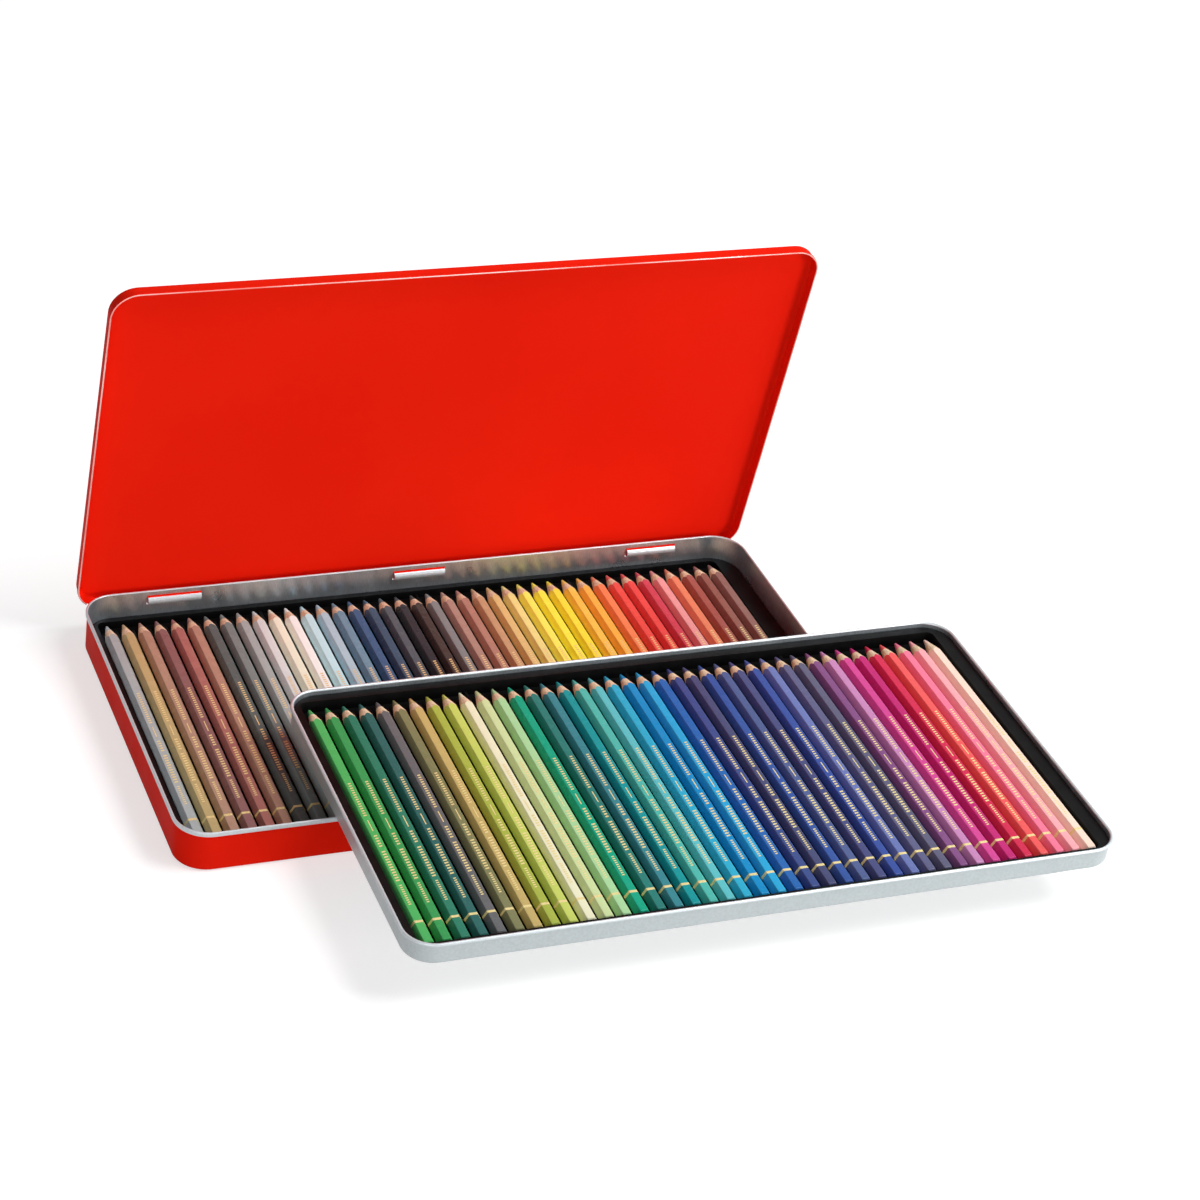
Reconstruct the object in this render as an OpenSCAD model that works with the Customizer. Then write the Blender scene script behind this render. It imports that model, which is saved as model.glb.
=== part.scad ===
// Coloured pencil tin, open: a flat tin with a hinged lid, a row of forty pencils inside it,
// and the tin's upper tray with forty more pencils, parked on the front of the rim.
// Millimetres. The origin is the centre of the base tin's underside, X runs along the rows of
// pencils, +Y points to the hinge at the back and +Z points up.

/* [Pencils] */
// Width of a pencil across its flat sides
pencil_flats = 6.5; // [6:0.1:7]
// Length of a pencil from its dipped end to its point
pencil_len = 175; // [150:1:180]
// Distance from one pencil to the next
pencil_pitch = 8.3; // [8.2:0.1:9]
// Diameter of the coloured lead
lead_d = 3.8; // [2.5:0.1:4]
// Length of the sharpened cone, measured at a corner of the hexagon
cone_len = 13; // [10:0.5:24]

/* [Base tin] */
// Height of the base tin
base_h = 22; // [20:0.5:34]
// Bare width of tin left beside the row of pencils, both sides together
side_room = 20; // [20:0.5:40]
// Bare depth of tin left before and behind the pencils together
end_room = 19; // [18:0.5:30]
// Corner radius of the base tin
base_corner = 16; // [14:0.5:26]
// Thickness of the tin sheet
sheet = 0.4; // [0.3:0.05:0.5]

/* [Tray] */
// Height of the upper tray
tray_h = 12; // [11:0.1:13.5]
// How much smaller the tray is than the base tin, each way
tray_less = 4; // [4:0.5:8]
// Parked tray: how far its centre lies to the right of the base tin's centre
park_right = 67.6; // [0:0.2:90]
// Parked tray: how much of it lies over the base tin, front to back
park_overlap = 82; // [70:0.2:96]

/* [Lid] */
// Depth of the lid's rim, from its top face to its free edge
lid_depth = 7; // [6:0.5:12]
// Corner radius of the lid
lid_corner = 13; // [11:0.5:14]
// Free space between the lid's rim and the base tin
lid_gap = 0.6; // [0.5:0.1:1]
// Angle that the lid stands open, measured from shut
lid_open = 79.5; // [40:0.5:90]
// Width of a hinge tongue
tongue_w = 27; // [18:1:32]
// Distance from the middle tongue to an outer one
tongue_spacing = 128; // [90:1:134]

/* [Hidden] */
$fn = 48;
GROUPS = 8;
GROUP_SIZE = 5;
COUNT = GROUPS * GROUP_SIZE;
LOOSE = COUNT;

// Pencil: a hexagon lying on a flat side, so its corners point sideways.
pencil_corner_r = pencil_flats / sqrt(3);
tip_r = 0.5;
cone_slope = (pencil_corner_r - tip_r) / cone_len;
dip_edge = 0.3;
dip_len = 1.2;

// Rows: the first pencil is at the left.
row_shift = -1.5;
row_w = COUNT * pencil_pitch;

// Base tin
base_w = row_w + side_room;
base_d = pencil_len + end_room;
base_rim_t = 1.1;
base_rim_h = 2.5;
base_edge_r = 2;
base_tip_room = 7;
base_tip_y = base_d / 2 - base_tip_room;

// Tray
tray_w = base_w - tray_less;
tray_d = base_d - tray_less;
tray_corner = base_corner - 1;
tray_rim = 1.6;
tray_edge_r = 2;
tray_tip_room = 9;
tray_tip_y = tray_d / 2 - tray_tip_room;
park_gap = 0.3;
park_y = park_overlap - base_d / 2 - tray_d / 2;
park_z = base_h + park_gap;

// Inserts: heights above the underside of their own tin
insert_t = 0.5;
insert_gap = 0.3;
foot_room = 0.1;
base_axis_z = 7.5;
tray_axis_z = 6.2;
base_flange_z = 8.5;
tray_flange_z = 9.2;
ridge_gap = 0.4;
ridge_h = 2;
ridge_base = pencil_pitch - pencil_corner_r - 2 * ridge_gap;
ridge_back_room = 3.2;
ridge_front_room = 9;
well_corner = 3;
well_side_room = 0.7;
well_end_room = 0.6;
well_tip_room = 2.5;
ledge_group = 10;

// Hinge: the tongues curl round a bar that is left between two windows in the back wall.
curl_r = 1.9;
bar_half = 1.3;
window_half = 2.65;
window_room = 0.5;
hinge_y = base_d / 2 - base_rim_t + sheet / 2;
hinge_z = base_h - base_rim_h - window_half;
curl_from = -190;
curl_to = 40;

// Lid, described as it lies when shut, with the tray under it on the lower row of pencils
lid_seat = 0.3;
tray_head_room = 0.45;
tray_shut_top = base_axis_z + pencil_flats / 2 + tray_h;
lid_clear = max(lid_seat, tray_shut_top + tray_head_room - base_h);
lid_w = base_w + 2 * (lid_gap + sheet);
lid_d = base_d + 2 * (lid_gap + sheet);
lid_top = base_h + lid_clear + sheet;
lid_edge_r = 1.5;
lid_back_z = hinge_z + 1;
skirt_turn = 50;
hem_t = 0.9;
hem_h = 1.8;

// ---------- shared shapes ----------

module rounded_rect(w, d, r) {
  square([w - 2 * r, d], center = true);
  square([w, d - 2 * r], center = true);
  for (x = [-1, 1], y = [-1, 1])
    translate([x * (w / 2 - r), y * (d / 2 - r)]) circle(r);
}

module slab(w, d, r, h) {
  linear_extrude(h) rounded_rect(w, d, r);
}

// An upright ring of thickness t, standing inside the outline w by d
module upright_ring(w, d, r, t, h) {
  linear_extrude(h) difference() {
    rounded_rect(w, d, r);
    rounded_rect(w - 2 * t, d - 2 * t, r - t);
  }
}

// Runs a 2D profile round a rounded rectangle. The profile's x is measured outward from the
// centre of a corner arc, so the outline is at x = r. Side 0 is the right one, 1 the back one,
// 2 the left one and 3 the front one; corner 0 is at the back right, and so on.
module run_round(w, d, r, sides = [0:3], corners = [0:3]) {
  for (k = sides) run_place(w, d, r, k) rotate([90, 0, 0])
    linear_extrude((k % 2 == 0 ? d : w) - 2 * r) children();
  for (k = corners) run_place(w, d, r, k) rotate_extrude(angle = 90) children();
}

// Runs a 2D profile round the first turn degrees of corner k only
module run_corner(w, d, r, k, turn) {
  run_place(w, d, r, k) rotate_extrude(angle = turn) children();
}

module run_place(w, d, r, k) {
  across = k % 2 == 0 ? w : d;
  along = k % 2 == 0 ? d : w;
  rotate([0, 0, 90 * k]) translate([across / 2 - r, along / 2 - r, 0]) children();
}

// The lower right quarter of a bent sheet, its outer radius r, round the point (0, 0)
module bend(r, t) {
  intersection() {
    difference() {
      circle(r);
      circle(r - t);
    }
    translate([0, -r]) square(r);
  }
}

// A bead of the given width and height with round ends, its top right corner at (0, 0)
module bead(t, h) {
  translate([-t / 2, -t / 2]) circle(t / 2);
  translate([-t / 2, t / 2 - h]) circle(t / 2);
  if (h > t) translate([-t, t / 2 - h]) square([t, h - t]);
}

// An open tin: flat bottom, bent edge, upright wall and a beaded rim that stands outward
module open_tin(w, d, r, h, edge_r, rim_t, rim_h) {
  wall_out = r - rim_t + sheet;
  floor_less = 2 * (rim_t - sheet + edge_r);
  slab(w - floor_less, d - floor_less, wall_out - edge_r, sheet);
  run_round(w, d, r) {
    translate([wall_out - edge_r, edge_r]) bend(edge_r, sheet);
    translate([wall_out - sheet, edge_r]) square([sheet, h - edge_r - rim_t / 2]);
    translate([r, h]) bead(rim_t, rim_h);
  }
}

// ---------- pencils ----------

// Everything in a pencil lies inside this turned shape: cone, body and the dipped end's bevel.
module pencil_envelope() {
  far_r = pencil_corner_r + 0.2;
  bevel_r = pencil_flats / 2 - dip_edge;
  rotate_extrude() polygon([
    [0, 0],
    [bevel_r, 0],
    [far_r, far_r - bevel_r],
    [far_r, pencil_len - (far_r - tip_r) / cone_slope],
    [tip_r, pencil_len],
    [0, pencil_len]
  ]);
}

module pencil_casing() {
  difference() {
    intersection() {
      linear_extrude(pencil_len) circle(pencil_corner_r, $fn = 6);
      pencil_envelope();
    }
    translate([0, 0, dip_len]) cylinder(d = lead_d, h = pencil_len);
  }
}

module pencil_lead() {
  lead_cone = (lead_d / 2 - tip_r) / cone_slope;
  rotate_extrude() polygon([
    [0, dip_len],
    [lead_d / 2, dip_len],
    [lead_d / 2, pencil_len - lead_cone],
    [tip_r, pencil_len],
    [0, pencil_len]
  ]);
}

function pencil_x(i) = row_shift + (i - (COUNT + 1) / 2) * pencil_pitch;

module lay_pencil(i, axis_z, tip_y) {
  translate([pencil_x(i), tip_y - pencil_len, axis_z]) rotate([-90, 0, 0]) children();
}

module group(g, axis_z, tip_y, last = COUNT) {
  for (i = [(g - 1) * GROUP_SIZE + 1 : min(g * GROUP_SIZE, last)])
    lay_pencil(i, axis_z, tip_y) children();
}

module base_pencils(g) {
  color("tan") group(g, base_axis_z, base_tip_y) pencil_casing();
}

module base_leads(g) {
  color("sienna") group(g, base_axis_z, base_tip_y) pencil_lead();
}

module tray_pencils(g) {
  color("mediumseagreen") park() group(g, tray_axis_z, tray_tip_y, LOOSE - 1) pencil_casing();
}

module tray_leads(g) {
  color("seagreen") park() group(g, tray_axis_z, tray_tip_y, LOOSE - 1) pencil_lead();
}

module tray_pencil_40() {
  color("peachpuff") park() lay_pencil(LOOSE, tray_axis_z, tray_tip_y) pencil_casing();
}

module tray_lead_40() {
  color("lightsalmon") park() lay_pencil(LOOSE, tray_axis_z, tray_tip_y) pencil_lead();
}

// ---------- inserts ----------

// Formed sheet with a flange, a sunk well and a hollow ridge between each two pencils. It stands
// on the tin's flat bottom on a skirt, foot_in inside the outline w by d. Where a corner of the
// well reaches past the skirt, the pencil lies next to the tin's own corner. The corner radius
// is r, and the heights are measured from the underside of the insert's tin.
module insert(w, d, r, foot_in, axis_z, flange_z, tip_y) {
  floor_z = axis_z - pencil_flats / 2;
  well_w = row_w - pencil_pitch + 2 * (pencil_corner_r + well_side_room);
  well_back = tip_y + well_tip_room;
  well_front = tip_y - pencil_len - well_end_room;
  well_y = (well_back + well_front) / 2;
  well_d = well_back - well_front;
  ridge_front = tip_y - pencil_len + ridge_front_room;
  foot_w = w - 2 * foot_in;
  foot_d = d - 2 * foot_in;
  foot_r = r - foot_in;
  difference() {
    union() {
      difference() {
        union() {
          translate([0, 0, sheet])
            upright_ring(foot_w, foot_d, foot_r, insert_t, flange_z - sheet);
          translate([0, 0, flange_z - insert_t]) slab(w, d, r, insert_t);
          intersection() {
            slab(foot_w, foot_d, foot_r, flange_z);
            well_box(well_w, well_d, well_y, insert_t, floor_z - insert_t, flange_z);
          }
        }
        well_box(well_w, well_d, well_y, 0, floor_z, flange_z + 1);
      }
      ridges(ridge_front, tip_y, well_back, floor_z, 0);
    }
    ridges(ridge_front, tip_y, well_back, floor_z, insert_t);
  }
}

module well_box(w, d, y, grow, z_low, z_high) {
  translate([row_shift, y, z_low])
    slab(w + 2 * grow, d + 2 * grow, well_corner + grow, z_high - z_low);
}

// Ridges as solids, or as the hollows under them when shrunk by t. Every tenth ridge runs on
// to the back wall of the well and divides the rows into tens.
module ridges(front, tip_y, well_back, floor_z, t) {
  for (i = [1 : COUNT - 1]) {
    back = i % ledge_group == 0 ? well_back : tip_y - ridge_back_room;
    translate([pencil_x(i) + pencil_pitch / 2, back - t, floor_z - insert_t - (t > 0 ? 1 : 0)])
      rotate([90, 0, 0]) linear_extrude(back - front - 2 * t) ridge_section(t);
  }
}

module ridge_section(t) {
  below = insert_t + (t > 0 ? 1 : 0);
  half = ridge_base / 2 - t;
  top_half = ridge_base / 2 - ridge_h / sqrt(3) - t * 0.6;
  polygon([
    [-half, 0],
    [half, 0],
    [half, below],
    [top_half, below + ridge_h - t],
    [-top_half, below + ridge_h - t],
    [-half, below]
  ]);
}

// How far inside the insert's outline its skirt stands clear of the tin's bent bottom edge
function foot_in(edge_r) = edge_r - sheet - insert_gap + foot_room;

module base_insert() {
  less = 2 * (base_rim_t + insert_gap);
  color("#202020")
    insert(base_w - less, base_d - less, base_corner - less / 2, foot_in(base_edge_r),
      base_axis_z, base_flange_z, base_tip_y);
}

module tray_insert() {
  less = 2 * (tray_rim + insert_gap);
  color("#202020") park()
    insert(tray_w - less, tray_d - less, tray_corner - less / 2, foot_in(tray_edge_r),
      tray_axis_z, tray_flange_z, tray_tip_y);
}

// ---------- tins ----------

module base_tin() {
  color("firebrick") difference() {
    open_tin(base_w, base_d, base_corner, base_h, base_edge_r, base_rim_t, base_rim_h);
    for (x = [-1, 0, 1]) translate([x * tongue_spacing, 0, 0]) hinge_windows();
  }
}

// The two windows of one hinge, above and below its bar
module hinge_windows() {
  window_w = tongue_w + 2 * window_room;
  window_h = window_half - bar_half;
  for (z = [bar_half, -window_half])
    translate([-window_w / 2, hinge_y - base_rim_t, hinge_z + z])
      cube([window_w, 2 * base_rim_t, window_h]);
}

module park() {
  translate([park_right, park_y, park_z]) children();
}

module tray_tin() {
  color("silver") park()
    open_tin(tray_w, tray_d, tray_corner, tray_h, tray_edge_r, tray_rim, tray_rim);
}

module lid_tin() {
  color("red") translate([0, hinge_y, hinge_z]) rotate([-lid_open, 0, 0])
    translate([0, -hinge_y, -hinge_z]) shut_lid();
}

module shut_lid() {
  slab_less = 2 * lid_edge_r;
  translate([0, 0, lid_top - sheet])
    slab(lid_w - slab_less, lid_d - slab_less, lid_corner - lid_edge_r, sheet);
  run_round(lid_w, lid_d, lid_corner)
    translate([lid_corner - lid_edge_r, lid_top - lid_edge_r]) mirror([0, 1])
      bend(lid_edge_r, sheet);
  run_round(lid_w, lid_d, lid_corner, [0, 2, 3], [2, 3]) lid_skirt();
  run_round(lid_w, lid_d, lid_corner, [1], []) lid_wall(lid_back_z);
  for (side = [0, 1]) mirror([side, 0, 0]) lid_back_corner();
  for (x = [-1, 0, 1]) translate([x * tongue_spacing, 0, 0]) tongue();
}

// The corner at the back right, where the full wall ends and the short back wall starts
module lid_back_corner() {
  run_corner(lid_w, lid_d, lid_corner, 0, 90) lid_wall(lid_back_z);
  run_corner(lid_w, lid_d, lid_corner, 0, skirt_turn) lid_skirt();
}

module lid_wall(z_low) {
  translate([lid_corner - sheet, z_low]) square([sheet, lid_top - lid_edge_r - z_low]);
}

// The wall at its full depth, with its hem. It carries on round a part of each back corner, and
// the back wall between is short, so that it passes the base tin when the lid swings open.
module lid_skirt() {
  lid_wall(lid_top - lid_depth);
  translate([lid_corner - sheet + hem_t, lid_top - lid_depth + hem_h]) bead(hem_t, hem_h);
}

module tongue() {
  translate([0, hinge_y, hinge_z]) rotate([90, 0, 90]) rotate([0, 0, curl_from])
    rotate_extrude(angle = curl_to - curl_from)
      translate([curl_r, -tongue_w / 2]) square([sheet, tongue_w]);
}

// ---------- nodes ----------

base_tin();
base_insert();
lid_tin();
tray_tin();
tray_insert();
tray_pencil_40();
tray_lead_40();
for (g = [1:GROUPS]) {
  base_pencils(g);
  base_leads(g);
  tray_pencils(g);
  tray_leads(g);
}
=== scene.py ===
"""The look of the coloured pencil tin: an open tin with forty pencils, and the tin's upper tray
with forty more, parked on the front of its rim.

Lengths are written in millimetres, in the part's own frame, and go to metres where a mesh is made.
"""

import math

import bmesh
import bpy
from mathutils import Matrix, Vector


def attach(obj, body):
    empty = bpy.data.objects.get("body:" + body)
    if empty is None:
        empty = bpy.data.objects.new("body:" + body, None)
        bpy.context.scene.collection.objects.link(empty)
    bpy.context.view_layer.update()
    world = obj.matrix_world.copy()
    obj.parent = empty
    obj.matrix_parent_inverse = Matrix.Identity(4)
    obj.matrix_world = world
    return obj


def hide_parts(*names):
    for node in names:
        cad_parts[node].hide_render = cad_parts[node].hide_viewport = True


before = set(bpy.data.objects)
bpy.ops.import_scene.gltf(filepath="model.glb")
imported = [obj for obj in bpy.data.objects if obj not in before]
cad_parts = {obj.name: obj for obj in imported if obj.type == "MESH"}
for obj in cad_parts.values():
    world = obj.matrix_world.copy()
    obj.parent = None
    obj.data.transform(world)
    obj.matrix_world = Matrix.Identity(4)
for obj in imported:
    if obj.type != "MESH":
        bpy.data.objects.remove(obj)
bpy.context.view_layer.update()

MM = 0.001

# ---------- sizes, the same as in the part's source ----------

COUNT = 40
GROUP_SIZE = 5
LOOSE = COUNT
PITCH = 8.3
ROW_SHIFT = -1.5
ROW_W = COUNT * PITCH

PENCIL_LEN = 175
PENCIL_FLATS = 6.5
CORNER_R = PENCIL_FLATS / math.sqrt(3)
CONE_LEN = 13
TIP_R = 0.5
CONE_SLOPE = (CORNER_R - TIP_R) / CONE_LEN
LEAD_R = 1.9

SHEET = 0.4
SIDE_ROOM, END_ROOM, BASE_TIP_ROOM = 20, 19, 7
BASE_W, BASE_D, BASE_H, BASE_CORNER = ROW_W + SIDE_ROOM, PENCIL_LEN + END_ROOM, 22, 16
BASE_EDGE_R, BASE_RIM_T, BASE_RIM_H = 2, 1.1, 2.5
BASE_AXIS_Z = 7.5
BASE_TIP_Y = BASE_D / 2 - BASE_TIP_ROOM

TRAY_LESS, TRAY_TIP_ROOM = 4, 9
TRAY_W, TRAY_D, TRAY_H, TRAY_CORNER = BASE_W - TRAY_LESS, BASE_D - TRAY_LESS, 12, BASE_CORNER - 1
TRAY_EDGE_R, TRAY_RIM = 2, 1.6
TRAY_AXIS_Z = 6.2
TRAY_TIP_Y = TRAY_D / 2 - TRAY_TIP_ROOM
PARK_RIGHT, PARK_OVERLAP, PARK_GAP = 67.6, 82, 0.3
PARK = (PARK_RIGHT, PARK_OVERLAP - BASE_D / 2 - TRAY_D / 2, BASE_H + PARK_GAP)

TONGUE_W, TONGUE_SPACING = 27, 128
BAR_HALF, WINDOW_HALF, WINDOW_ROOM = 1.3, 2.65, 0.5
HINGE_Y = BASE_D / 2 - BASE_RIM_T + SHEET / 2
HINGE_Z = BASE_H - BASE_RIM_H - WINDOW_HALF
CURL_R, CURL_FROM, CURL_TO = 1.9, -190, 40

LID_OPEN, LID_DEPTH, LID_GAP, TRAY_HEAD_ROOM = 79.5, 7, 0.6, 0.45
LID_W, LID_D = BASE_W + 2 * (LID_GAP + SHEET), BASE_D + 2 * (LID_GAP + SHEET)
LID_CORNER, LID_EDGE_R = 13, 1.5
LID_TOP = BASE_AXIS_Z + PENCIL_FLATS / 2 + TRAY_H + TRAY_HEAD_ROOM + SHEET
LID_LOW, LID_BACK_LOW, SKIRT_TURN = LID_TOP - LID_DEPTH, HINGE_Z + 1, 50
HEM_T, HEM_H = 0.9, 1.8

# ---------- colours, in screen values ------------------

# Lighter and greener than the pencils look, because the lid throws red light on them
BASE_COLOURS = [
    ("silver_grey", "A8B2B2"),
    ("gold_tan", "BEAA78"),
    ("light_sienna", "B0907A"),
    ("purple_brown", "8C6664"),
    ("russet", "A87068"),
    ("tan_brown", "B08C78"),
    ("charcoal", "5C6A68"),
    ("stone_grey", "7C8C8A"),
    ("mid_grey", "A4B4B2"),
    ("light_grey", "D4E2E0"),
    ("ivory", "ECF6DE"),
    ("cream_white", "F2FFFA"),
    ("pale_sky", "C0F0F6"),
    ("light_blue_grey", "ACD0DC"),
    ("grey_blue", "6E98AC"),
    ("payne_grey", "40668C"),
    ("dark_slate", "405E74"),
    ("dark_grey", "56666C"),
    ("black", "343E42"),
    ("sepia_black", "464642"),
    ("ash_grey", "808C8C"),
    ("mauve_brown", "AC9284"),
    ("red_brown", "B08A78"),
    ("raw_tan", "C0A078"),
    ("ochre", "D8C480"),
    ("pale_gold", "E8E490"),
    ("light_yellow", "F8F868"),
    ("yellow", "FAF850"),
    ("warm_yellow", "F8EE48"),
    ("yellow_orange", "F4CC58"),
    ("light_orange", "F4BC50"),
    ("orange", "EC8C5C"),
    ("vermilion", "E45850"),
    ("scarlet", "E05450"),
    ("crimson", "C84C5C"),
    ("pink_red", "E4A0A0"),
    ("salmon_red", "E08A68"),
    ("brown_red", "9C5A50"),
    ("dark_brown", "8C5E54"),
    ("chocolate", "8C6A62"),
]
TRAY_COLOURS = [
    ("leaf_green", "4CAE5E"),
    ("green", "3A9A56"),
    ("dark_green", "2E7C64"),
    ("bottle_green", "2C6460"),
    ("charcoal_green", "66686A"),
    ("olive_grey", "7C7E58"),
    ("khaki_gold", "C2AC6C"),
    ("olive", "A6B44C"),
    ("lime", "C2D066"),
    ("pale_lime", "E8E8C6"),
    ("light_green", "C8DAA0"),
    ("mint", "A4D49C"),
    ("emerald", "10A280"),
    ("dark_teal", "287A72"),
    ("teal_blue", "36848E"),
    ("teal", "109296"),
    ("turquoise", "4CB4A8"),
    ("light_turquoise", "5ABCC2"),
    ("cyan", "2CA6C8"),
    ("cerulean", "1288C2"),
    ("sky_blue", "28A0D2"),
    ("blue", "2864AC"),
    ("ultramarine", "3C4E88"),
    ("navy_violet", "464C72"),
    ("royal_blue", "34549A"),
    ("grey_blue_violet", "4E5E8E"),
    ("violet_blue", "464C7A"),
    ("cobalt", "38509A"),
    ("periwinkle", "6674AE"),
    ("grey_violet", "5A5C80"),
    ("dusk_violet", "5C5C76"),
    ("purple", "7C4C7E"),
    ("lilac", "C084B4"),
    ("magenta_pink", "CC4690"),
    ("deep_magenta", "BC2870"),
    ("crimson_pink", "CC2C50"),
    ("coral", "E65A5A"),
    ("pink", "EE7896"),
    ("pale_pink", "F4A6AC"),
    ("peach_cream", "F4D8C6"),
]
WHITE, BLACK = "FFFFFF", "000000"
RED, DEEP_RED, WARM_RED = "E81E0A", "A00000", "FF4020"
BARE_STEEL, DULL_STEEL, BLUISH_STEEL, TARNISH = "C4CCD0", "AEB6B8", "C8D4DC", "707478"
BLACK_PLASTIC = "141414"
CEDAR, LATE_WOOD, EARLY_WOOD = "DECBA8", "905030", "FFF4E6"
GOLD, WORN_GOLD = "EADC9C", "8A6420"


def linear(hex_colour):
    """A screen colour such as "E01C0C" as Blender's linear red, green, blue and alpha."""
    parts = [int(hex_colour[i : i + 2], 16) / 255 for i in (0, 2, 4)]
    return [p / 12.92 if p <= 0.04045 else ((p + 0.055) / 1.055) ** 2.4 for p in parts] + [1]


def mixed(hex_colour, other, share):
    """hex_colour with a share of the other colour in it, both on screen."""
    pairs = [(int(hex_colour[i : i + 2], 16), int(other[i : i + 2], 16)) for i in (0, 2, 4)]
    return "".join(f"{round(a + (b - a) * share):02X}" for a, b in pairs)


# ---------- materials ----------

NOISE_SPAN = (0.3, 0.7)


class Surface:
    """A node material on a Principled shader, with helpers that add one effect each."""

    def __init__(self, name, **sockets):
        self.material = bpy.data.materials.new(name)
        self.material.use_nodes = True
        self.tree = self.material.node_tree
        self.shader = self.tree.nodes["Principled BSDF"]
        for socket, value in sockets.items():
            self.shader.inputs[socket.replace("_", " ")].default_value = value
        self.place = self.node("ShaderNodeTexCoord").outputs["Object"]
        self.height = None

    def node(self, kind):
        return self.tree.nodes.new(kind)

    def link(self, output, target):
        self.tree.links.new(output, target)

    def noise(self, scale, detail=3, stretch=(1, 1, 1)):
        """Noise round 0.5, mostly within NOISE_SPAN. scale is in features per metre, and stretch
        makes them longer along the axes where it is under 1."""
        mapping = self.node("ShaderNodeMapping")
        mapping.inputs["Scale"].default_value = stretch
        self.link(self.place, mapping.inputs["Vector"])
        noise = self.node("ShaderNodeTexNoise")
        noise.inputs["Scale"].default_value = scale
        noise.inputs["Detail"].default_value = detail
        self.link(mapping.outputs["Vector"], noise.inputs["Vector"])
        return noise.outputs["Fac"]

    def colour(self, stops, value):
        """Base colour from a ramp of (place, hex colour) stops, read at value."""
        ramp = self.node("ShaderNodeValToRGB")
        elements = ramp.color_ramp.elements
        while len(elements) < len(stops):
            elements.new(0.5)
        for element, (place, hex_colour) in zip(elements, stops):
            element.position = place
            element.color = linear(hex_colour)
        self.link(value, ramp.inputs["Fac"])
        self.link(ramp.outputs["Color"], self.shader.inputs["Base Color"])

    def roughness(self, value, low, high):
        """Roughness from low to high, following a noise."""
        mapped = self.node("ShaderNodeMapRange")
        for socket, number in zip(mapped.inputs[1:5], (*NOISE_SPAN, low, high)):
            socket.default_value = number
        self.link(value, mapped.inputs["Value"])
        self.link(mapped.outputs["Result"], self.shader.inputs["Roughness"])

    def bump(self, value, depth, strength=1.0):
        """Adds relief. depth is in millimetres."""
        bump = self.node("ShaderNodeBump")
        bump.inputs["Distance"].default_value = depth * MM
        bump.inputs["Strength"].default_value = strength
        self.link(value, bump.inputs["Height"])
        if self.height is not None:
            self.link(self.height, bump.inputs["Normal"])
        self.height = bump.outputs["Normal"]
        self.link(self.height, self.shader.inputs["Normal"])


def red_lacquer():
    """Baked lacquer on tin: nearly even, with a faint orange peel and a slow drift in gloss."""
    s = Surface("red_lacquer_coat", Specular_IOR_Level=0.02)
    s.colour([(0.35, mixed(RED, DEEP_RED, 0.05)), (0.65, mixed(RED, WARM_RED, 0.03))], s.noise(9))
    s.roughness(s.noise(40, 4), 0.46, 0.56)
    s.bump(s.noise(1400, 2), 0.003)
    return s.material


def painted_highlight_edge():
    """The free edge of the lid, painted light pink as a highlight line, with a real glossier, part
    metallic finish.
    """
    s = Surface("lid_painted_highlight_edge", Metallic=0.3, Specular_IOR_Level=0.8)
    highlight_tone = s.noise(25, 4)
    # Red lightened toward white: a painted highlight along the edge
    s.colour([(0.3, mixed(RED, WHITE, 0.42)), (0.6, mixed(RED, WHITE, 0.78))], highlight_tone)
    s.roughness(highlight_tone, 0.32, 0.24)
    s.bump(s.noise(1400, 2), 0.003)
    return s.material


def tinplate(name, metallic, rough, steel, contrast=0.08, grain=(1, 1, 1)):
    """Bare tinned steel. contrast is the strength of its fine marks, and grain stretches them."""
    s = Surface(name, Metallic=metallic)
    brushed = s.noise(900, 4, grain)
    s.colour([(0.3, mixed(steel, TARNISH, contrast)), (0.7, mixed(steel, WHITE, contrast))], brushed)
    s.roughness(s.noise(60, 4), rough - 0.05, rough + 0.05)
    s.bump(brushed, 0.0015, 0.5)
    return s.material


def black_plastic():
    """Thin formed sheet with a low sheen and a faint ripple from the mould."""
    s = Surface("black_insert_sheet", Specular_IOR_Level=0.06)
    s.colour([(0.3, mixed(BLACK_PLASTIC, BLACK, 0.4)), (0.7, BLACK_PLASTIC)], s.noise(120))
    s.roughness(s.noise(200, 4), 0.3, 0.42)
    s.bump(s.noise(300, 3), 0.02)
    return s.material


def pencil_paint(name, hex_colour):
    """Lacquer over the pencil's casing, with slow waves and a trace of wood grain under it."""
    s = Surface(name, Specular_IOR_Level=0.12)
    tone = s.noise(60, 3, (1, 0.12, 1))
    s.colour([(0.3, mixed(hex_colour, BLACK, 0.02)), (0.7, mixed(hex_colour, WHITE, 0.02))], tone)
    s.roughness(s.noise(120, 3), 0.22, 0.32)
    s.bump(s.noise(350, 3, (1, 0.06, 1)), 0.002)
    return s.material


def pencil_lead(name, hex_colour):
    """Waxy lead, cut by the sharpener."""
    s = Surface(name, Specular_IOR_Level=0.25)
    cut = s.noise(900, 4, (1, 0.4, 1))
    s.colour([(0.3, mixed(hex_colour, BLACK, 0.10)), (0.7, mixed(hex_colour, WHITE, 0.08))], cut)
    s.roughness(cut, 0.38, 0.55)
    s.bump(cut, 0.015)
    return s.material


def cedar():
    """Sharpened wood: pores and streaks that run along the pencil."""
    s = Surface("sharpened_cedar", Specular_IOR_Level=0.2)
    streaks = s.noise(1500, 5, (1, 0.08, 1))
    late, early = mixed(CEDAR, LATE_WOOD, 0.4), mixed(CEDAR, EARLY_WOOD, 0.45)
    s.colour([(0.25, late), (0.5, CEDAR), (0.75, early)], streaks)
    s.roughness(s.noise(500, 3), 0.5, 0.7)
    s.bump(streaks, 0.02)
    return s.material


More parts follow.
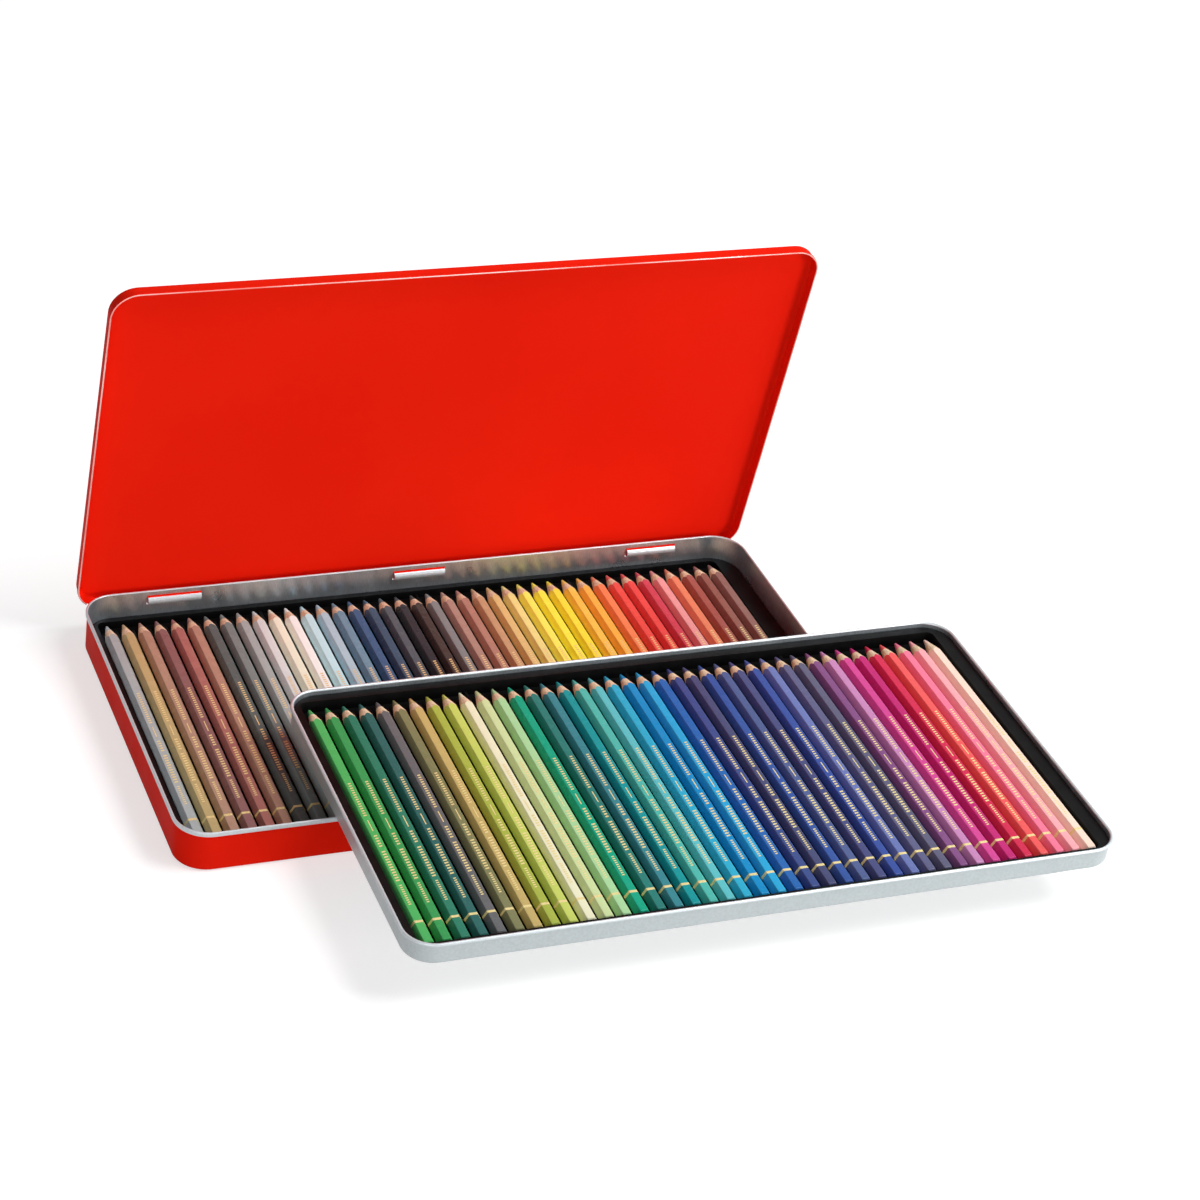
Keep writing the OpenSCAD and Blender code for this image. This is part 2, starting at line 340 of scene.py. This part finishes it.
def gold_foil():
    """Hot stamped foil, a little worn."""
    s = Surface("gold_foil", Metallic=0.12, Specular_IOR_Level=0.3)
    wear_and_highlight = s.noise(1600, 4)
    s.colour([(0.3, mixed(GOLD, WORN_GOLD, 0.2)), (0.6, GOLD)], wear_and_highlight)
    s.roughness(wear_and_highlight, 0.26, 0.40)
    s.bump(wear_and_highlight, 0.006)
    return s.material


# ---------- meshes ----------

WELD = 0.001
BEND_STEPS, RIM_STEPS, FOLD_STEPS = 6, 10, 5
# The lid's free edge is a half circle in FREE_EDGE_STEPS, and the steps between the two bounds after it
# are painted light pink as a highlight
FREE_EDGE_STEPS, HIGHLIGHT_FROM, HIGHLIGHT_TO = 10, 2, 8
CURL_STEPS, LACQUERED_STEPS = 30, 4
WINDOW_TOP_ROOM = 0.04
TONGUES = (-1, 0, 1)

# The order of the materials on the tins, on the lid and on a pencil
INSIDE, RIM, OUTSIDE = range(3)
# On the lid, the second material is the free edge's painted highlight
LACQUER, HIGHLIGHT_EDGE, CURL = range(3)
PAINT, FOIL, WOOD, LEAD = range(4)


def make_object(name, verts, faces, slots, materials, sharp_angle=32):
    """A smooth shaded mesh in metres from points in millimetres, with points closer than WELD
    joined. Edges between two materials and edges sharper than sharp_angle stay crisp."""
    mesh = bpy.data.meshes.new(name)
    mesh.from_pydata([[c * MM for c in v] for v in verts], [], faces)
    for material in materials:
        mesh.materials.append(material)
    for polygon, slot in zip(mesh.polygons, slots):
        polygon.material_index = slot
        polygon.use_smooth = True
    work = bmesh.new()
    work.from_mesh(mesh)
    bmesh.ops.remove_doubles(work, verts=work.verts, dist=WELD * MM)
    limit = math.radians(sharp_angle)
    for edge in work.edges:
        pair = edge.link_faces
        if len(pair) == 2:
            split = pair[0].material_index != pair[1].material_index
            edge.smooth = not split and edge.calc_face_angle(0) < limit
    work.to_mesh(mesh)
    work.free()
    made = bpy.data.objects.new(name, mesh)
    bpy.context.scene.collection.objects.link(made)
    return made


def on_circle(cx, cz, r, angle):
    """The point of a circle at an angle in degrees."""
    a = math.radians(angle)
    return cx + r * math.cos(a), cz + r * math.sin(a)


def arc(cx, cz, r, start, end, steps):
    """Points on a circle from the angle start to the angle end."""
    return [on_circle(cx, cz, r, start + (end - start) * i / steps) for i in range(steps + 1)]


class Shell:
    """Faces made by running profiles round a rounded rectangle. A profile point is (distance
    outward from the corner's centre, height)."""

    CORNERS = ((1, 1), (-1, 1), (-1, -1), (1, -1))

    def __init__(self, w, d, r, steps=14):
        self.w, self.d, self.r, self.steps = w, d, r, steps
        self.verts, self.faces, self.slots = [], [], []

    def stations(self, corners=(0, 1, 2, 3), back_cuts=()):
        """(centre x, centre y, outward x, outward y) along the outline, counterclockwise."""
        made = []
        for k in corners:
            made += self.corner(k)
            if k == 0:
                made += [(x, self.d / 2 - self.r, 0.0, 1.0) for x in back_cuts]
        return made

    def corner(self, k, start=0, end=90):
        """The stations of corner k from start to end degrees of its quarter turn."""
        cx = self.CORNERS[k][0] * (self.w / 2 - self.r)
        cy = self.CORNERS[k][1] * (self.d / 2 - self.r)
        steps = max(1, round(self.steps * (end - start) / 90))
        turn = [math.radians(90 * k + start + (end - start) * i / steps) for i in range(steps + 1)]
        return [(cx, cy, math.cos(a), math.sin(a)) for a in turn]

    def add(self, points):
        first = len(self.verts)
        self.verts += points
        return first

    def face(self, corners, slot):
        self.faces.append(corners)
        self.slots.append(slot)

    @staticmethod
    def section_at(station, profile):
        cx, cy, ox, oy = station
        return [(cx + ox * p, cy + oy * p, z) for p, z in profile]

    def run(self, profile, slots, stations, closed=True, skip=None):
        """Sweeps an open profile. slots has the material of each step of the profile.
        skip(step, x middle) says where a face of the back wall is left out. Returns what cap
        needs to know of the run."""
        n = len(profile)
        count = len(stations)
        first = len(self.verts)
        for station in stations:
            self.add(self.section_at(station, profile))
        for i in range(count if closed else count - 1):
            (x1, _, _, back1), (x2, _, _, back2) = stations[i], stations[(i + 1) % count]
            here, there = first + i * n, first + ((i + 1) % count) * n
            x = (x1 + x2) / 2
            flat = back1 == 1.0 and back2 == 1.0
            for j in range(n - 1):
                if not (skip and flat and skip(j, x)):
                    self.face([here + j, there + j, there + j + 1, here + j + 1], slots[j])
        return first, n, count

    def cap(self, run, j, slot, upward):
        """A flat face over point j of a run's profile."""
        first, n, count = run
        ring = [first + i * n + j for i in range(count)]
        self.face(ring if upward else ring[::-1], slot)

    def end(self, section, station, slot, flip):
        """A flat face with the outline section, across the run at a station."""
        first = self.add(self.section_at(station, section))
        ring = list(range(first, first + len(section)))
        self.face(ring[::-1] if flip else ring, slot)


def tin_profile(r, edge_r, rim_t, rim_h, height, levels=()):
    """The section of an open tin, from the bottom's upper face over the rim to its underside.
    levels are extra heights on both faces of the wall. Returns the points and the material of
    each step between them."""
    wall, half = r - rim_t, rim_t / 2
    bottom = wall + SHEET - edge_r
    inner = arc(bottom, edge_r, edge_r - SHEET, -90, 0, BEND_STEPS)
    inner += [(wall, z) for z in levels]
    low_end = -math.degrees(math.acos((SHEET - half) / half))
    rim = arc(wall + half, height - half, half, 180, 0, RIM_STEPS)
    rim += arc(wall + half, height - rim_h + half, half, 0, low_end, FOLD_STEPS)
    outer = [(wall + SHEET, z) for z in reversed(levels)]
    outer += arc(bottom, edge_r, edge_r, 0, -90, BEND_STEPS)
    slots = [INSIDE] * len(inner) + [RIM] * (len(rim) - 1) + [OUTSIDE] * len(outer)
    return inner + rim + outer, slots


def open_tin(shell, profile, slots, **run_options):
    """Runs a tin's section round the shell and closes its bottom."""
    run = shell.run(profile, slots, **run_options)
    shell.cap(run, 0, INSIDE, upward=True)
    shell.cap(run, len(profile) - 1, OUTSIDE, upward=False)


def moved(verts, offset):
    return [tuple(a + b for a, b in zip(v, offset)) for v in verts]


def window_walls(shell, x, low, high, y_in, y_out, slot):
    """The four cut faces of a window through the back wall."""
    half = TONGUE_W / 2 + WINDOW_ROOM
    ring = [(x - half, low), (x + half, low), (x + half, high), (x - half, high)]
    first = shell.add([(px, y_in, pz) for px, pz in ring] + [(px, y_out, pz) for px, pz in ring])
    for i in range(4):
        j = (i + 1) % 4
        shell.face([first + i, first + 4 + i, first + 4 + j, first + j], slot)


def build_base_tin(materials):
    """The lower tin, with a pair of windows in its back wall for each hinge tongue."""
    shell = Shell(BASE_W, BASE_D, BASE_CORNER)
    levels = [HINGE_Z + z for z in (-WINDOW_HALF, -BAR_HALF, BAR_HALF, WINDOW_HALF - WINDOW_TOP_ROOM)]
    half = TONGUE_W / 2 + WINDOW_ROOM
    cuts = [x * TONGUE_SPACING + s * half for x in (1, 0, -1) for s in (1, -1)]
    profile, slots = tin_profile(BASE_CORNER, BASE_EDGE_R, BASE_RIM_T, BASE_RIM_H, BASE_H, levels)
    wall = BASE_CORNER - BASE_RIM_T

    def in_window(j, x):
        (p, z), (q, z2) = profile[j], profile[j + 1]
        from_hinge = abs((z + z2) / 2 - HINGE_Z)
        upright = p == q and p in (wall, wall + SHEET)
        beside = min(abs(x - k * TONGUE_SPACING) for k in TONGUES)
        return upright and beside < half and BAR_HALF < from_hinge < WINDOW_HALF

    open_tin(shell, profile, slots, stations=shell.stations(back_cuts=cuts), skip=in_window)
    y_in = BASE_D / 2 - BASE_RIM_T
    for k in TONGUES:
        for low, high in (levels[:2], levels[2:]):
            window_walls(shell, k * TONGUE_SPACING, low, high, y_in, y_in + SHEET, RIM)
    made = make_object("base_tin_shell", shell.verts, shell.faces, shell.slots, materials)
    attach(made, "base")
    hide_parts("base_tin")


def build_tray_tin(materials):
    """The upper tin, parked on the rim of the lower one."""
    shell = Shell(TRAY_W, TRAY_D, TRAY_CORNER)
    profile, slots = tin_profile(TRAY_CORNER, TRAY_EDGE_R, TRAY_RIM, TRAY_RIM, TRAY_H)
    open_tin(shell, profile, slots, stations=shell.stations())
    verts = moved(shell.verts, PARK)
    made = make_object("tray_tin_shell", verts, shell.faces, shell.slots, materials)
    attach(made, "tray")
    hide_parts("tray_tin")


def lid_bends():
    """The bend between plate and wall: its inner face and its outer face."""
    middle = LID_CORNER - LID_EDGE_R
    inside = arc(middle, LID_TOP - LID_EDGE_R, LID_EDGE_R - SHEET, 90, 0, BEND_STEPS)
    outside = arc(middle, LID_TOP - LID_EDGE_R, LID_EDGE_R, 0, 90, BEND_STEPS)
    return inside, outside


def lid_walls():
    """The sections of the wall below the bend, from its inner face round to its outer face: the
    one with a hem and the short one at the back. Each also has the points where the other one's
    outline leaves it, so that the two weld."""
    inner, half, top = LID_CORNER - SHEET, HEM_T / 2, LID_TOP - LID_EDGE_R
    middle = inner + half
    meet = math.degrees(math.acos((SHEET - half) / half))
    hemmed = [(inner, top), (inner, LID_BACK_LOW)]
    hemmed += arc(middle, LID_LOW + half, half, 180, 360, FREE_EDGE_STEPS)
    hemmed += arc(middle, LID_LOW + HEM_H - half, half, 0, meet, FOLD_STEPS)
    short = [(inner, top), (inner, LID_BACK_LOW), (LID_CORNER, LID_BACK_LOW), hemmed[-1]]
    return hemmed + [(LID_CORNER, top)], short + [(LID_CORNER, top)]


def build_lid(materials):
    """The lid with its hem, whose free edge has a painted highlight line, and the three hinge tongues."""
    shell = Shell(LID_W, LID_D, LID_CORNER)
    inside, outside = lid_bends()
    hemmed, short = lid_walls()
    skirt = shell.corner(1, 90 - SKIRT_TURN, 90) + shell.stations((2, 3)) + shell.corner(0, 0, SKIRT_TURN)
    back = shell.corner(0, SKIRT_TURN, 90) + shell.corner(1, 0, 90 - SKIRT_TURN)
    around = skirt + back[1:-1]
    run = shell.run(inside, [LACQUER] * (len(inside) - 1), around)
    shell.cap(run, 0, LACQUER, upward=False)
    run = shell.run(outside, [LACQUER] * (len(outside) - 1), around)
    shell.cap(run, len(outside) - 1, LACQUER, upward=True)
    edge = hemmed.index((LID_CORNER - SHEET, LID_BACK_LOW)) + 1
    # The steps of the free edge that take the painted highlight
    wear_and_highlight = range(edge + HIGHLIGHT_FROM, edge + HIGHLIGHT_TO)
    slots = [HIGHLIGHT_EDGE if j in wear_and_highlight else LACQUER for j in range(len(hemmed) - 1)]
    shell.run(hemmed, slots, skirt, closed=False)
    shell.run(short, [LACQUER] * (len(short) - 1), back, closed=False)
    step = hemmed[1:-1] + [short[2]]
    shell.end(step, skirt[0], LACQUER, flip=False)
    shell.end(step, skirt[-1], LACQUER, flip=True)
    for k in TONGUES:
        add_tongue(shell, k * TONGUE_SPACING)
    verts = [opened(v) for v in shell.verts]
    made = make_object("lid_shell", verts, shell.faces, shell.slots, materials)
    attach(made, "lid")
    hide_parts("lid_tin")


def add_tongue(shell, x):
    """A curl of bare metal at x, which keeps its lacquer only where it leaves the lid."""
    loop = arc(HINGE_Y, HINGE_Z, CURL_R + SHEET, CURL_FROM, CURL_TO, CURL_STEPS)
    loop += arc(HINGE_Y, HINGE_Z, CURL_R, CURL_TO, CURL_FROM, CURL_STEPS)
    half, n = TONGUE_W / 2, len(loop)
    first = shell.add([(x + s * half, y, z) for s in (-1, 1) for y, z in loop])
    for j in range(n):
        jj = (j + 1) % n
        bare = LACQUERED_STEPS <= j < CURL_STEPS
        ring = [first + j, first + jj, first + n + jj, first + n + j]
        shell.face(ring, CURL if bare else LACQUER)
    shell.face([first + j for j in range(n)][::-1], CURL)
    shell.face([first + n + j for j in range(n)], CURL)


def opened(point):
    """A point of the shut lid, turned back about the hinge."""
    a = math.radians(-LID_OPEN)
    y, z = point[1] - HINGE_Y, point[2] - HINGE_Z
    return (
        point[0],
        HINGE_Y + y * math.cos(a) - z * math.sin(a),
        HINGE_Z + y * math.sin(a) + z * math.cos(a),
    )


# ---------- pencils ----------

CORNER_ROUND = 0.42
CORNER_STEPS, FLAT_STEPS, WOOD_STEPS = 4, 6, 4
# Rings of the dipped end: share of the full section, and distance from the end
DIPPED_END = [(0.3, 0.02), (0.6, 0.09), (0.8, 0.22), (0.9, 0.40), (0.96, 0.66), (0.99, 1.0), (1, 1.5)]
BAND_START, BAND_END, BAND_EDGE, BAND_RISE = 13.0, 14.5, 0.02, 0.03
CASING_RINGS = (50, 90, 130)
# Rings of the lead: distance from the tip, and radius where it isn't the cone's
LEAD_RINGS = [(2.5, None), (0.5, None), (0.2, 0.46), (0.04, 0.24)]
MARK_RISE, MARK_LEAN = 0.03, 0.18
# Gold marks on the top flat: start of the group, how many, pitch, length along and across
MARKS = [
    (25.0, 10, 1.45, 0.75, 1.3),
    (41.5, 12, 1.85, 0.95, 1.9),
    (66.0, 5, 1.85, 0.95, 1.6),
    (77.5, 1, 9.0, 8.0, 0.5),
    (88.5, 15, 1.7, 0.85, 1.5),
]


def pencil_section():
    """One turn of the hexagon, as (x, z) points, with rounded corners and cut up flats."""
    reach = (PENCIL_FLATS / 2 - CORNER_ROUND) / math.cos(math.radians(30))
    centres = [on_circle(0, 0, reach, 60 * k) for k in range(7)]
    points = []
    for k in range(6):
        corner = arc(*centres[k], CORNER_ROUND, 60 * k - 30, 60 * k + 30, CORNER_STEPS)
        x, z = corner[-1]
        end_x, end_z = on_circle(*centres[k + 1], CORNER_ROUND, 60 * k + 30)
        shares = [t / FLAT_STEPS for t in range(1, FLAT_STEPS)]
        points += corner + [(x + (end_x - x) * t, z + (end_z - z) * t) for t in shares]
    return points


def casing_ring(section, s, share=1, rise=0.0):
    """The section at s, with a share of its full size, lifted off the casing by rise."""
    grown = share * (1 + rise / (PENCIL_FLATS / 2))
    return [(x * grown, s, z * grown) for x, z in section]


def casing_rings(section):
    """The dipped end, the gold band and the casing, as (ring, material of the step after it)."""
    rings = [(casing_ring(section, s, share), PAINT) for share, s in DIPPED_END]
    rings.append((casing_ring(section, BAND_START), FOIL))
    for s in (BAND_START + BAND_EDGE, BAND_END - BAND_EDGE):
        rings.append((casing_ring(section, s, rise=BAND_RISE), FOIL))
    rings.append((casing_ring(section, BAND_END), PAINT))
    rings += [(casing_ring(section, s), PAINT) for s in CASING_RINGS]
    return rings


def cone_radius(s):
    return TIP_R + (PENCIL_LEN - s) * CONE_SLOPE


def cone_rings(section):
    """The sharpened cone. It meets the paint in a wave, because the casing has corners."""
    sizes = [math.hypot(x, z) for x, z in section]
    edge = [PENCIL_LEN - (size - TIP_R) / CONE_SLOPE for size in sizes]
    rings = [([(x, s, z) for (x, z), s in zip(section, edge)], WOOD)]
    wood_end = PENCIL_LEN - (LEAD_R - TIP_R) / CONE_SLOPE
    for step in range(1, WOOD_STEPS + 1):
        along = [s + (wood_end - s) * step / WOOD_STEPS for s in edge]
        shares = [cone_radius(s) / size for s, size in zip(along, sizes)]
        ring = [(x * k, s, z * k) for (x, z), s, k in zip(section, along, shares)]
        rings.append((ring, WOOD if step < WOOD_STEPS else LEAD))
    for from_tip, radius in LEAD_RINGS:
        s = PENCIL_LEN - from_tip
        r = radius or cone_radius(s)
        rings.append(([(x / n * r, s, z / n * r) for (x, z), n in zip(section, sizes)], LEAD))
    return rings


def mark_verts():
    """The four corners of each gold mark."""
    top = PENCIL_FLATS / 2 + MARK_RISE
    verts = []
    for start, count, pitch, along, across in MARKS:
        lean = MARK_LEAN * across
        for s in (start + k * pitch for k in range(count)):
            verts += [
                (-across / 2, s, top),
                (across / 2, s + lean, top),
                (across / 2, s + lean + along, top),
                (-across / 2, s + along, top),
            ]
    return verts


def pencil_mesh():
    """Verts as (x, s, z), faces and slots of one pencil. s runs from the dipped end to the tip."""
    section = pencil_section()
    n = len(section)
    rings = casing_rings(section) + cone_rings(section)
    verts = [(0, 0, 0)] + [point for ring, _ in rings for point in ring] + [(0, PENCIL_LEN, 0)]
    tip = len(verts) - 1
    last = tip - n
    faces, slots = [], []
    for i in range(n):
        j = (i + 1) % n
        faces.append([0, 1 + i, 1 + j])
        slots.append(PAINT)
        for k, (_, slot) in enumerate(rings[:-1]):
            a, b = 1 + k * n, 1 + (k + 1) * n
            faces.append([a + i, b + i, b + j, a + j])
            slots.append(slot)
        faces.append([last + i, tip, last + j])
        slots.append(LEAD)
    marks = mark_verts()
    for first in range(len(verts), len(verts) + len(marks), 4):
        faces.append([first, first + 1, first + 2, first + 3])
        slots.append(FOIL)
    return verts + marks, faces, slots


def pencil_x(number):
    return ROW_SHIFT + (number - (COUNT + 1) / 2) * PITCH


def build_pencils(row, colours, origin, tip_y, axis_z, foil, wood):
    """The forty pencils of one row, each its own piece."""
    verts, faces, slots = pencil_mesh()
    for number, (colour_name, hex_colour) in enumerate(colours, start=1):
        place = (origin[0] + pencil_x(number), origin[1] + tip_y - PENCIL_LEN, origin[2] + axis_z)
        name = f"{row}_pencil_{number:02d}_{colour_name}"
        paint = pencil_paint(f"paint_{row}_{number:02d}", hex_colour)
        lead = pencil_lead(f"lead_{row}_{number:02d}", hex_colour)
        made = make_object(name, moved(verts, place), faces, slots, [paint, foil, wood, lead])
        loose = row == "tray" and number == LOOSE
        group = (number - 1) // GROUP_SIZE + 1
        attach(made, "pencil_40" if loose else row)
        if loose:
            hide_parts("tray_pencil_40", "tray_lead_40")
        else:
            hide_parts(f"{row}_pencils_{group}", f"{row}_leads_{group}")


# ---------- stage ----------

FLOOR_WHITE, FLOOR_GLOW, FLOOR_HALF, FLOOR_BELOW = 0.6, 0.6, 6.0, 0.0002
WORLD_LIGHT = 0.25
# Fitted to the corners of the tins and the lid in the photograph: metres, degrees, millimetres
CAMERA_PLACE = (-0.51295, -1.16299, 0.88978)
CAMERA_TURN = (57.9139, -6.9126, -20.4581)
CAMERA_LENS, CAMERA_SENSOR = 95.176, 36
CAMERA_SHIFT = (0.0449, -0.0495)


def seen_directly(tree):
    """1 for rays from the camera and for reflected or refracted ones, and 0 for light."""
    path = tree.nodes.new("ShaderNodeLightPath")
    total = path.outputs["Is Camera Ray"]
    for name in ("Is Glossy Ray", "Is Transmission Ray"):
        either = tree.nodes.new("ShaderNodeMath")
        either.operation = "MAXIMUM"
        tree.links.new(total, either.inputs[0])
        tree.links.new(path.outputs[name], either.inputs[1])
        total = either.outputs[0]
    return total


def floor_material():
    """Matt white for the light, and full white to the camera outside the object's shadow."""
    material = bpy.data.materials.new("floor_white")
    material.use_nodes = True
    tree = material.node_tree
    shader = tree.nodes["Principled BSDF"]
    shader.inputs["Base Color"].default_value = (FLOOR_WHITE, FLOOR_WHITE, FLOOR_WHITE, 1)
    shader.inputs["Roughness"].default_value = 0.9
    shader.inputs["Specular IOR Level"].default_value = 0.0
    shader.inputs["Emission Color"].default_value = (1, 1, 1, 1)
    glow = tree.nodes.new("ShaderNodeMath")
    glow.operation = "MULTIPLY"
    glow.inputs[1].default_value = FLOOR_GLOW
    tree.links.new(seen_directly(tree), glow.inputs[0])
    tree.links.new(glow.outputs[0], shader.inputs["Emission Strength"])
    return material


def build_floor():
    """A square floor that keeps the object's shadow, a hair below the base tin."""
    mesh = bpy.data.meshes.new("floor")
    corners = [(-1, -1), (1, -1), (1, 1), (-1, 1)]
    verts = [(x * FLOOR_HALF, y * FLOOR_HALF, -FLOOR_BELOW) for x, y in corners]
    mesh.from_pydata(verts, [], [[0, 1, 2, 3]])
    mesh.materials.append(floor_material())
    made = bpy.data.objects.new("floor", mesh)
    bpy.context.scene.collection.objects.link(made)


def build_world():
    """Even white light, and a white background to the camera and in reflections."""
    world = bpy.data.worlds.new("studio")
    bpy.context.scene.world = world
    world.use_nodes = True
    tree = world.node_tree
    tree.nodes.clear()
    light = tree.nodes.new("ShaderNodeBackground")
    light.inputs["Strength"].default_value = WORLD_LIGHT
    backdrop = tree.nodes.new("ShaderNodeBackground")
    backdrop.inputs["Strength"].default_value = 1.0
    mix = tree.nodes.new("ShaderNodeMixShader")
    tree.links.new(seen_directly(tree), mix.inputs["Fac"])
    tree.links.new(light.outputs[0], mix.inputs[1])
    tree.links.new(backdrop.outputs[0], mix.inputs[2])
    out = tree.nodes.new("ShaderNodeOutputWorld")
    tree.links.new(mix.outputs[0], out.inputs["Surface"])


def softbox(name, toward, distance, side, level):
    """A square lamp in the direction toward. level is the share of full light that it gives a
    surface that faces it, where full light shows a colour as it is written."""
    lamp = bpy.data.lights.new(name, "AREA")
    lamp.shape = "SQUARE"
    lamp.size = side
    lamp.energy = level * (math.pi * distance) ** 2
    made = bpy.data.objects.new(name, lamp)
    place = Vector(toward).normalized() * distance
    made.location = place
    made.rotation_mode = "QUATERNION"
    made.rotation_quaternion = (-place).to_track_quat("-Z", "Y")
    bpy.context.scene.collection.objects.link(made)


def build_camera():
    """Front left of the object and above it, as in the photograph."""
    data = bpy.data.cameras.new("camera")
    data.lens = CAMERA_LENS
    data.sensor_width = CAMERA_SENSOR
    data.shift_x, data.shift_y = CAMERA_SHIFT
    data.clip_start, data.clip_end = 0.05, 50
    made = bpy.data.objects.new("camera", data)
    made.location = CAMERA_PLACE
    made.rotation_euler = [math.radians(a) for a in CAMERA_TURN]
    bpy.context.scene.collection.objects.link(made)
    bpy.context.scene.camera = made


def finish_node(node, material):
    """Gives a carried over CAD node one material in every slot."""
    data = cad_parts[node].data
    for i in range(len(data.materials)):
        data.materials[i] = material
    if not data.materials:
        data.materials.append(material)


# ---------- the whole scene ----------

red = red_lacquer()
rim_metal = tinplate("bright_rim", 0.3, 0.34, BARE_STEEL)
inside_metal = tinplate("bare_inside", 0.9, 0.32, BLUISH_STEEL, contrast=0.25, grain=(6, 6, 0.4))
satin_metal = tinplate("satin_outside", 0.35, 0.42, DULL_STEEL)
build_base_tin([inside_metal, rim_metal, red])
build_tray_tin([inside_metal, rim_metal, satin_metal])
# The lid's second material paints a highlight on its free edge
build_lid([red, painted_highlight_edge(), rim_metal])
insert_sheet = black_plastic()
finish_node("base_insert", insert_sheet)
finish_node("tray_insert", insert_sheet)
foil, wood = gold_foil(), cedar()
build_pencils("base", BASE_COLOURS, (0, 0, 0), BASE_TIP_Y, BASE_AXIS_Z, foil, wood)
build_pencils("tray", TRAY_COLOURS, PARK, TRAY_TIP_Y, TRAY_AXIS_Z, foil, wood)
build_floor()
build_world()
softbox("key_right", (0.56, -0.2, 0.8), distance=2.0, side=1.2, level=1.0)
softbox("front_right", (0.58, -0.79, 0.2), distance=2.5, side=0.8, level=0.46)
softbox("front_left", (-0.5, -0.85, 0.2), distance=2.5, side=1.4, level=0.3)
build_camera()

bpy.context.scene.view_settings.view_transform = "Standard"
